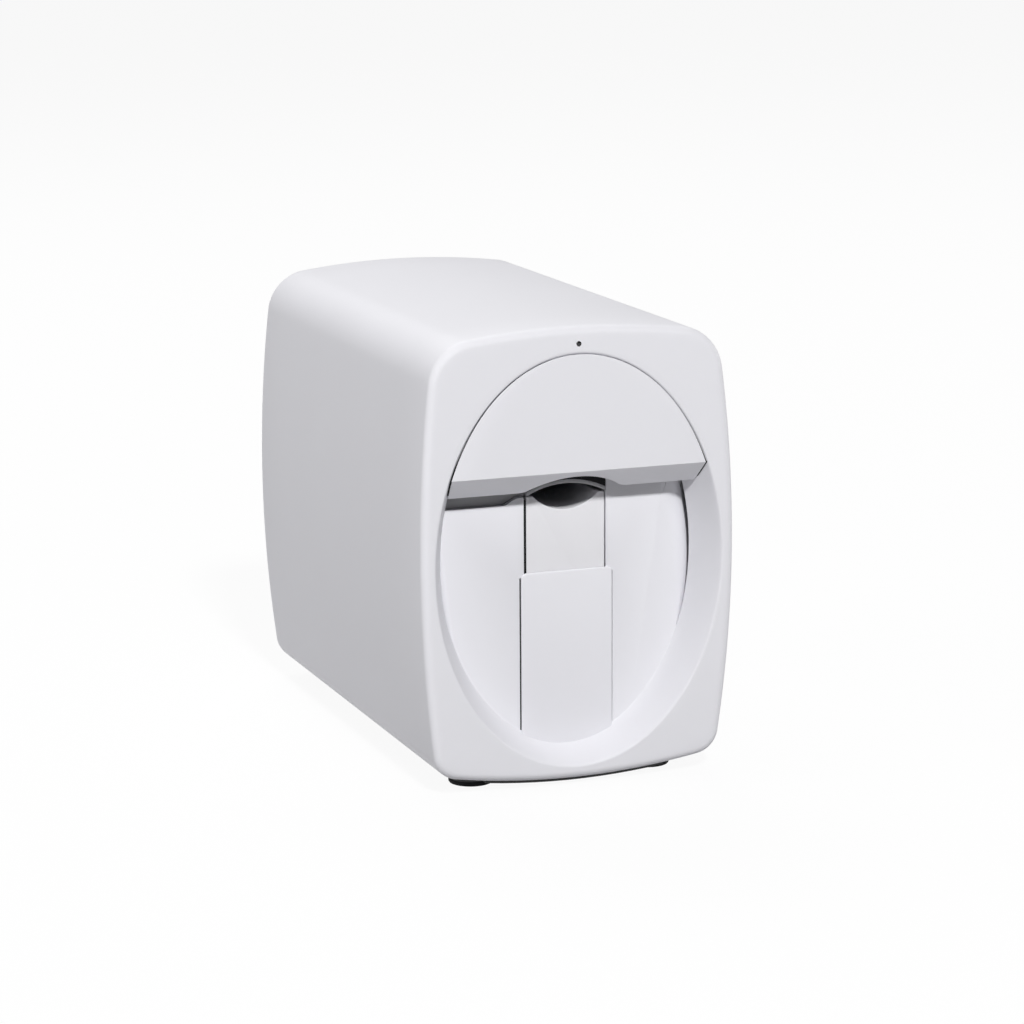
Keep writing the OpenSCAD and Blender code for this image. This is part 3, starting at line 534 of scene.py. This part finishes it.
class PRINTER_OT_recess(bpy.types.Operator):
    """Models the scooped oval recess, its two panels, the fixed apron and the cover's ledge"""

    bl_idname = "printer.recess"
    bl_label = "Front recess"

    def execute(self, context):
        edge = context.scene.printer_sizes.edge
        bm = bmesh.new()
        # the wall: from just inside the rim down to the panels, and back up behind
        inner = [scoop_ring(1.4, -0.02)]
        for i in range(3, 33):
            inner.append(scoop_ring(PANEL_D * sin(pi / 2 * i / 32), -0.02))
        outer = [scoop_ring(PANEL_D * sin(pi / 2 * i / 12), 0.8, 2.3) for i in range(12, 0, -1)]
        skin(bm, inner + outer, closed=True)
        cut_level(bm, SPLIT_H, 1)
        # two panels; the left one ends in a slot below the cover, the right one goes on up
        edge_ring = [(x, h) for x, _, h in scoop_ring(PANEL_D)]
        tops = {1: LIP_H, -1: PANEL_TOP}
        for side in (1, -1):
            slot = SLIDE_W / 2 + (0.28 if side > 0 else 1.0)
            right = [p for p in edge_ring[1:SCOOP_STEPS // 2] if p[1] < tops[side]]
            profile = [(slot, APRON_TOP - 1.6), (JOINT_X, APRON_TOP - 1.6), (JOINT_X, 13.6)]
            rim = []
            for x, h in right:
                if x > JOINT_X + 0.7:
                    x = flat_end(side, x, h) if h > ROLL_LOW else x + 0.25
                    rim.append((x, h - (0.25 if h < 30 else 0)))
            profile += rim
            if side > 0:
                profile += [(rim[-1][0], tops[1]), (slot, tops[1])]
            else:
                profile += [(rim[-1][0], PANEL_TOP), (22.0, PANEL_TOP),
                            (21.2, PANEL_TOP + 0.15), (17.6, PANEL_TOP + 2.2),
                            (16.9, PANEL_TOP + 2.4), (slot, PANEL_TOP + 2.4)]

            def visible(e):
                low = min(v.co.z for v in e.verts) / MM - FOOT_H
                near = max(abs(v.co.x) for v in e.verts) / MM
                return near < JOINT_X + 0.1 or (low > PANEL_TOP - 1 and near < 39)

            prism(bm, [(side * x, h) for x, h in profile], PANEL_D, PANEL_D + PANEL_T,
                  edge=edge, keep=visible)
            # the panel rolls away beside the wall and runs on under the wall's foot
            lines = [p for p in right if p[1] > 44.5]
            rings = []
            for x, h in lines:
                flat = flat_end(side, x, h)
                width = x - flat
                row = []
                for k in range(ROLL_STEPS + 2):
                    share = k / ROLL_STEPS
                    row.append((side * (flat + width * ROLL_REACH * share),
                                PANEL_D + 0.02 + ROLL_DEPTH * width * share ** 2, h))
                row += [(side * (flat + width * 1.9), PANEL_D + 1.8 + 1.5 * width, h),
                        (side * flat, PANEL_D + PANEL_T - 0.1, h)]
                rings.append(row)
            skin(bm, rings)
        # the apron that the slide runs behind
        half = [(10, 9.0), (APRON_X, 12.5), (APRON_X, APRON_TOP - 1.6),
                (APRON_X - 0.45, APRON_TOP - 0.45), (APRON_X - 1.6, APRON_TOP)]
        prism(bm, half + [(-x, h) for x, h in reversed(half)], PANEL_D - 0.7, PANEL_D + 0.3,
              edge=edge * 1.3, segments=3)
        finish_piece(bm, "recess_shell", "frame", "white_shell")

        # the edge of the finger stop, made grey as painted shade; a black sheet as painted shadow
        # in the space above it; and a grey plate as painted shade at the end of the left slot
        centre, reach = SLIDE_TOP + 3.8 - 29, SLIDE_W / 2 + 0.1
        bm = bmesh.new()
        arcs = []
        for r in (28.95, 30.2):
            a = asin(reach / r)
            arcs.append([(r * sin(a * k / 12), centre + r * cos(a * k / 12))
                         for k in range(-12, 13)])
        prism(bm, arcs[1] + arcs[0][::-1], PANEL_D - 0.05, PANEL_D + PANEL_T, edge=edge)
        finish_piece(bm, "stop_rim", "frame", "grey_plastic")
        bm = bmesh.new()
        prism(bm, arcs[1] + [(reach, LIP_H - 1.6), (-reach, LIP_H - 1.6)],
              PANEL_D + 0.05, PANEL_D + PANEL_T)
        finish_piece(bm, "stop_shade", "frame", "rubber")
        bm = bmesh.new()
        prism(bm, [(-44.5, PANEL_TOP - 2), (-37.9, PANEL_TOP - 2), (-37.9, LIP_H),
                   (-42.0, LIP_H)], PANEL_D + 2.4, PANEL_D + 4.2)
        finish_piece(bm, "slot_end_shade", "frame", "grey_plastic")

        # black strips in the joints beside the apron, painted shade of the gaps
        bm = bmesh.new()
        for side in (1, -1):
            prism(bm, [(side * x, h) for x, h in (
                      (APRON_X - 0.2, 13.0), (JOINT_X + 0.5, 14.2),
                      (JOINT_X + 0.5, APRON_TOP - 2.2), (APRON_X - 0.2, APRON_TOP - 2.2))],
                  PANEL_D + 0.45, PANEL_D + 1.6)
        finish_piece(bm, "apron_joint_shade", "frame", "dark_plastic")

        # the ledge behind the cover, with its peg sockets and magnet seats
        bm = bmesh.new()
        base = FRONT_WALL + 0.05
        skin(bm, [scoop_ring(base, g, s, False) for g, s in
                  ((2.4, 0), (2.4, 2), (-2.6, 2), (-2.6, 0))], closed=True)
        cut_level(bm, SPLIT_H, -1)
        peg_x, peg_h, magnet_x, magnet_h = RIM_A - 19, 122.0, 14.0, RIM_C + RIM_B - 12
        for side in (1, -1):
            for x, h, out, bore, d0, d1 in (
                    (peg_x, peg_h, 4.0, 2.05, FRONT_WALL + crown(peg_h) + 0.15, 12.0),
                    (magnet_x, magnet_h, 4.8, 3.55, FRONT_WALL + crown(magnet_h) + 1.8, 3.6)):
                skin(bm, turned(side * x, h, (
                    (out, d0 + 0.3), (out - 0.3, d0), (bore + 0.2, d0), (bore, d0 + 0.2),
                    (bore, d0 + d1), (out, d0 + d1)), False, 48), closed=True)
            prism(bm, [(side * (peg_x + 3.2), peg_h - 3), (side * (peg_x + 7), peg_h - 3),
                       (side * (peg_x + 7), peg_h + 2.5), (side * (peg_x + 3.2), peg_h + 2.5)],
                  FRONT_WALL + crown(peg_h) + 0.6, FRONT_WALL + crown(peg_h) + 4)
            prism(bm, [(side * (magnet_x - 4.6), magnet_h + 4), (side * (magnet_x + 4.6),
                       magnet_h + 4), (side * (magnet_x + 4.6), magnet_h + 9.6),
                       (side * (magnet_x - 4.6), magnet_h + 9.6)],
                  FRONT_WALL + crown(magnet_h) + 1.9, FRONT_WALL + crown(magnet_h) + 5.3)
        finish_piece(bm, "cover_ledge", "frame", "white_shell", ["dish"])
        return {"FINISHED"}


class PRINTER_OT_cover(bpy.types.Operator):
    """Models the pull-off upper cover with its slanted lip and finger arch"""

    bl_idname = "printer.cover"
    bl_label = "Upper cover"

    def execute(self, context):
        sizes = context.scene.printer_sizes
        seam, edge = sizes.seam / MM, sizes.edge / MM
        bm = bmesh.new()

        def spare(h):
            """The seam opens a little more towards the lower ends of the cover."""
            return 0.35 * min(max((LIP_H + 24 - h) / 24, 0), 1)

        def chain(depth, inset):
            """Right edge of the cover from its lower corner to the top centre."""
            grow = -seam - inset
            first = acos((RIM_C - LIP_H) / (RIM_B + grow))
            while scoop(first, depth, grow)[1] < LIP_H:
                first += 0.0002
            made = []
            for i in range(65):
                t = first + (pi - first) * i / 64
                x, h = scoop(t, depth, grow)
                h = LIP_H if i == 0 else h
                made.append((x - spare(h) if i < 64 else 0.0, depth + crown(h), h))
            return made

        steps = [(0.0, edge), (edge * 0.13, edge * 0.5), (edge * 0.5, edge * 0.13),
                 (edge, 0.0), (FRONT_WALL - 0.1, 0.0), (FRONT_WALL, 0.1)]
        rings, rows = [], 10
        for depth, inset in steps:
            right = chain(depth, inset)
            x, d, h = right[0]
            rings.append([(x * (2 * k / rows - 1), d, h) for k in range(1, rows)] + right
                         + [(-x, d, h) for x, d, h in reversed(right[:-1])])
        skin(bm, rings)
        for depth, inset in (steps[0], steps[-1]):
            # the face: one row of the grid for each pair of points on the two edges
            right = chain(depth, inset)
            made = bmesh.ops.create_grid(bm, x_segments=rows, y_segments=64, size=1.0)["verts"]
            for vert in made:
                x, d, h = right[round((vert.co.y + 1) * 32)]
                vert.co = at(x * vert.co.x, d, h)
        # the lip: a slanted face down to the slot, cut by the finger arch
        top_d = crown(LIP_H)

        def slant(h):
            return top_d + (LIP_H - h) * (LIP_REACH - top_d) / (LIP_H - LIP_LOW)

        def end(h):
            depth = min(slant(h), LIP_BACK)
            t = pi / 2
            for _ in range(60):
                t += (h - scoop(t, depth, -seam)[1]) / RIM_B
            return scoop(t, depth, -seam)[0] - spare(h)

        arch_r, apex = 31.0, LIP_H - 1.9
        half = sqrt(arch_r ** 2 - (arch_r - (apex - LIP_LOW)) ** 2)
        side = [(end(h), h) for h in (LIP_LOW, 98.0, 100.0, 101.6, LIP_H)]
        foot = [(half + 1.6, LIP_LOW), (half + 0.5, LIP_LOW + 0.15)]
        arch = [(arch_r * sin(a), apex - arch_r * (1 - cos(a))) for a in
                [0.56 * (i / 40 * 2 - 1) * -1 for i in range(41)]]
        arch = [(x, h) for x, h in arch if h > LIP_LOW + 0.35]
        points = side + [(-x, h) for x, h in reversed(side)]
        points += [(-x, h) for x, h in foot] + list(reversed(arch)) + list(reversed(foot))

        def lower(e):
            return max(v.co.z for v in e.verts) / MM - FOOT_H < LIP_H - 0.5

        prism(bm, points, 0, LIP_BACK, front=slant, edge=edge * MM, segments=3, keep=lower)
        prism(bm, [(-40.0, 101.8), (40.0, 101.8), (39.0, LIP_H + 4), (-39.0, LIP_H + 4)],
              FRONT_WALL + 0.2, LIP_BACK, edge=0.0004)
        finish_piece(bm, "upper_cover", "cover", "white_shell", ["front_cover"])
        # a black strip in the seam round the cover and beside the ends of its lip, painted shade
        # of the gap
        bm = bmesh.new()
        rings = []
        for i in range(161):
            t = 1.95 + (2 * pi - 3.9) * i / 160
            ring = []
            for grow, deep in ((-0.02, 0), (0.04 - seam, 0), (0.04 - seam, 1.4), (-0.02, 1.4)):
                depth = 0.6
                for _ in range(6):
                    x, h = scoop(t, depth, grow)
                    depth = deep + (slant(h) + 0.2 if h < LIP_H else crown(h) + 0.55)
                if grow < -0.02:
                    x -= copysign(spare(h), x)
                ring.append((x, depth, h))
            rings.append(ring)
        skin(bm, rings)
        bmesh.ops.holes_fill(bm, edges=open_edges(bm))
        finish_piece(bm, "cover_seam_shade", "frame", "rubber")
        return {"FINISHED"}


class PRINTER_OT_slide(bpy.types.Operator):
    """Models the finger slide: a flat front with a scooped top and a long finger trough"""

    bl_idname = "printer.slide"
    bl_label = "Finger slide"

    def execute(self, context):
        edge = context.scene.printer_sizes.edge
        w, r = SLIDE_W / 2, 15.4
        centre = SLIDE_TOP - 5 + r
        reach = sqrt(r * r - (centre - SLIDE_TOP) ** 2)
        a = atan2(reach, centre - SLIDE_TOP)
        trough = [(r * sin(a * s), centre - r * cos(a * s)) for s in
                  [1 - i / 14 for i in range(29)]]
        bm = bmesh.new()
        low = APRON_TOP - 18
        prism(bm, [(-w, low), (w, low), (w, SLIDE_TOP)] + trough + [(-w, SLIDE_TOP)],
              SLIDE_D, SLIDE_D + 2, edge=edge, segments=3)
        tray = w - 0.6
        prism(bm, [(-tray, SLIDE_TOP - 9), (tray, SLIDE_TOP - 9), (tray, SLIDE_TOP)] + trough
              + [(-tray, SLIDE_TOP)], SLIDE_D + 1.5, 60, edge=edge)
        prism(bm, [(-tray, SLIDE_TOP - 9), (tray, SLIDE_TOP - 9), (tray, SLIDE_TOP + 1),
                   (-tray, SLIDE_TOP + 1)], 60, 62, edge=edge * 2)
        guide_x = w + 4.75
        for side in (1, -1):
            # a lug with the bore that runs on the guide rod
            skin(bm, turned(side * guide_x, 37, (
                (3.2, SLIDE_TOP - 9), (3.2, SLIDE_TOP - 1.3), (1.55, SLIDE_TOP - 1.3),
                (1.55, SLIDE_TOP - 9)), True, 40), closed=True)
            prism(bm, [(side * (w - 1), SLIDE_TOP - 9), (side * (guide_x - 1.7), SLIDE_TOP - 9),
                       (side * (guide_x - 1.7), SLIDE_TOP - 1.3), (side * (w - 1),
                       SLIDE_TOP - 1.3)], 34.2, 39.8)
        finish_piece(bm, "finger_tray", "slide", "white_inner", ["finger_slide"])
        # a black strip on the left side of the slide, painted shade of the gap beside it
        bm = bmesh.new()
        prism(bm, [(-x, h) for x, h in ((w - 0.05, low + 0.5), (w + 0.75, low + 0.5),
                   (w + 0.75, SLIDE_TOP - 1.2), (w - 0.05, SLIDE_TOP - 1.2))],
              SLIDE_D + 0.2, SLIDE_D + 1.9)
        finish_piece(bm, "slide_gap_shade", "slide", "rubber")
        return {"FINISHED"}


class PRINTER_OT_small(bpy.types.Operator):
    """Models the indicator lens and the turned rubber feet"""

    bl_idname = "printer.small"
    bl_label = "Lens and feet"

    def execute(self, context):
        h = BODY_H - 5.7
        bm = bmesh.new()
        d = crown(h)
        disc_stack(bm, 0, h, [(0.4, d - 0.16), (0.75, d - 0.1), (0.95, d + 0.05), (0.95, d + 3.0),
                              (1.8, d + 3.1), (1.8, d + 4.0)], upright=False, steps=40)
        finish_piece(bm, "indicator_dot", "frame", "lens", ["indicator_lens"])
        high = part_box("rubber_feet")[1]
        radius = 7.5
        foot_x = high.x / MM - radius
        foot_d = high.y / MM - radius + BODY_D / 2
        bm = bmesh.new()
        for x in (-foot_x, foot_x):
            for depth, r in ((BODY_D - foot_d, radius), (foot_d, radius - 1.5)):
                disc_stack(bm, x, depth, [
                    (r - 2.3, -FOOT_H + 0.25), (r - 1.9, -FOOT_H), (r - 0.75, -FOOT_H),
                    (r - 0.3, -FOOT_H + 0.14), (r - 0.05, -FOOT_H + 0.5), (r, -FOOT_H + 0.8),
                    (r, high.z / MM - FOOT_H - 0.2), (r - 0.2, high.z / MM - FOOT_H)])
        finish_piece(bm, "turned_feet", "frame", "rubber", ["rubber_feet"])
        return {"FINISHED"}


# ---- studio -------------------------------------------------------------------------------
def softbox(name, place, width, height, power):
    light = bpy.data.lights.new(name, "AREA")
    light.shape, light.size, light.size_y, light.energy = "RECTANGLE", width, height, power
    lamp = bpy.data.objects.new(name, light)
    lamp.location = place
    ahead = Vector(LAMP_AIM) - Vector(place)
    lamp.rotation_euler = ahead.to_track_quat("-Z", "Y").to_euler()
    bpy.context.scene.collection.objects.link(lamp)


class PRINTER_OT_studio(bpy.types.Operator):
    """Sets the floor, the soft lamps, the world and the camera at the photograph's angle"""

    bl_idname = "printer.studio"
    bl_label = "Studio"

    def execute(self, context):
        colours = context.scene.printer_colours
        bm = bmesh.new()
        bmesh.ops.create_grid(bm, x_segments=1, y_segments=1, size=FLOOR_SIZE)
        mesh = bpy.data.meshes.new("studio_floor")
        bm.to_mesh(mesh)
        bm.free()
        floor = bpy.data.objects.new("studio_floor", mesh)
        context.scene.collection.objects.link(floor)
        f = Finish("floor_white")
        tone = tuple(colours.floor)
        f.set(Roughness=0.9)
        tree = f.material.node_tree
        seen = tree.nodes.new("ShaderNodeLightPath")
        camera_ray = Wire(tree, seen.outputs["Is Camera Ray"])
        f.link("Base Color", camera_ray.mix(
            f.noise(3.0, 2.0).mix(shaded(tone, 0.99), shaded(tone, 1.01)), (0.9, 0.9, 0.9, 1)))
        glossy_ray = Wire(tree, seen.outputs["Is Glossy Ray"])
        glass_ray = Wire(tree, seen.outputs["Is Transmission Ray"])
        bright = tree.nodes.new("ShaderNodeEmission")
        bright.inputs["Strength"].default_value = 1.0
        blend = tree.nodes.new("ShaderNodeMixShader")
        share = (camera_ray + glossy_ray + glass_ray) * FLOOR_GLOW
        tree.links.new(share.socket, blend.inputs[0])
        tree.links.new(f.shader.outputs[0], blend.inputs[1])
        tree.links.new(bright.outputs[0], blend.inputs[2])
        output = next(n for n in tree.nodes if n.type == "OUTPUT_MATERIAL")
        tree.links.new(blend.outputs[0], output.inputs[0])
        mesh.materials.append(f.material)

        world = bpy.data.worlds.new("studio_world")
        context.scene.world = world
        world.use_nodes = True
        tree = world.node_tree
        back = tree.nodes["Background"]
        back.inputs["Color"].default_value = (1, 1, 1, 1)
        seen = tree.nodes.new("ShaderNodeLightPath")
        camera_ray = Wire(tree, seen.outputs["Is Camera Ray"])
        strength = WORLD_LEVEL + (1 - WORLD_LEVEL) * camera_ray
        tree.links.new(strength.socket, back.inputs["Strength"])

        for lamp in LAMPS:
            softbox(*lamp)

        yaw, pitch, roll = CAMERA_YAW, CAMERA_PITCH, CAMERA_ROLL
        right = Vector((cos(yaw), -sin(yaw), 0))
        ahead = Vector((sin(yaw) * cos(pitch), cos(yaw) * cos(pitch), -sin(pitch)))
        up = right.cross(ahead)
        across = cos(roll) * right + sin(roll) * up
        above = cos(roll) * up - sin(roll) * right
        view = bpy.data.cameras.new("photo_camera")
        view.lens, view.sensor_width, view.sensor_fit = CAMERA_LENS, 36.0, "HORIZONTAL"
        view.clip_start, view.clip_end = 0.05, 50.0
        eye = bpy.data.objects.new("photo_camera", view)
        turn_to = Matrix((across, above, -ahead)).transposed().to_4x4()
        eye.matrix_world = Matrix.Translation(CAMERA_PLACE) @ turn_to
        context.scene.collection.objects.link(eye)
        context.scene.camera = eye
        context.scene.view_settings.view_transform = "Standard"
        return {"FINISHED"}


class PRINTER_PT_panel(bpy.types.Panel):
    """Shows the printer's sizes, colours and operators in the sidebar"""

    bl_idname = "PRINTER_PT_panel"
    bl_label = "Nail printer"
    bl_space_type = "VIEW_3D"
    bl_region_type = "UI"
    bl_category = "Nail printer"

    def draw(self, context):
        for group in (context.scene.printer_sizes, context.scene.printer_colours):
            for name in group.__annotations__:
                self.layout.prop(group, name)
        for operator in OPERATORS:
            self.layout.operator(operator.bl_idname)


OPERATORS = (PRINTER_OT_finishes, PRINTER_OT_shell, PRINTER_OT_recess, PRINTER_OT_cover,
             PRINTER_OT_slide, PRINTER_OT_small, PRINTER_OT_studio)
CLASSES = (PrinterSizes, PrinterColours) + OPERATORS + (PRINTER_PT_panel,)


def register():
    for cls in CLASSES:
        bpy.utils.register_class(cls)
    bpy.types.Scene.printer_sizes = bpy.props.PointerProperty(type=PrinterSizes)
    bpy.types.Scene.printer_colours = bpy.props.PointerProperty(type=PrinterColours)


def unregister():
    del bpy.types.Scene.printer_colours
    del bpy.types.Scene.printer_sizes
    for cls in reversed(CLASSES):
        bpy.utils.unregister_class(cls)


def main():
    register()
    bpy.ops.printer.finishes()
    bpy.ops.printer.studio()
    bpy.ops.printer.shell()
    bpy.ops.printer.recess()
    bpy.ops.printer.cover()
    bpy.ops.printer.slide()
    bpy.ops.printer.small()


if __name__ == "__main__":
    main()
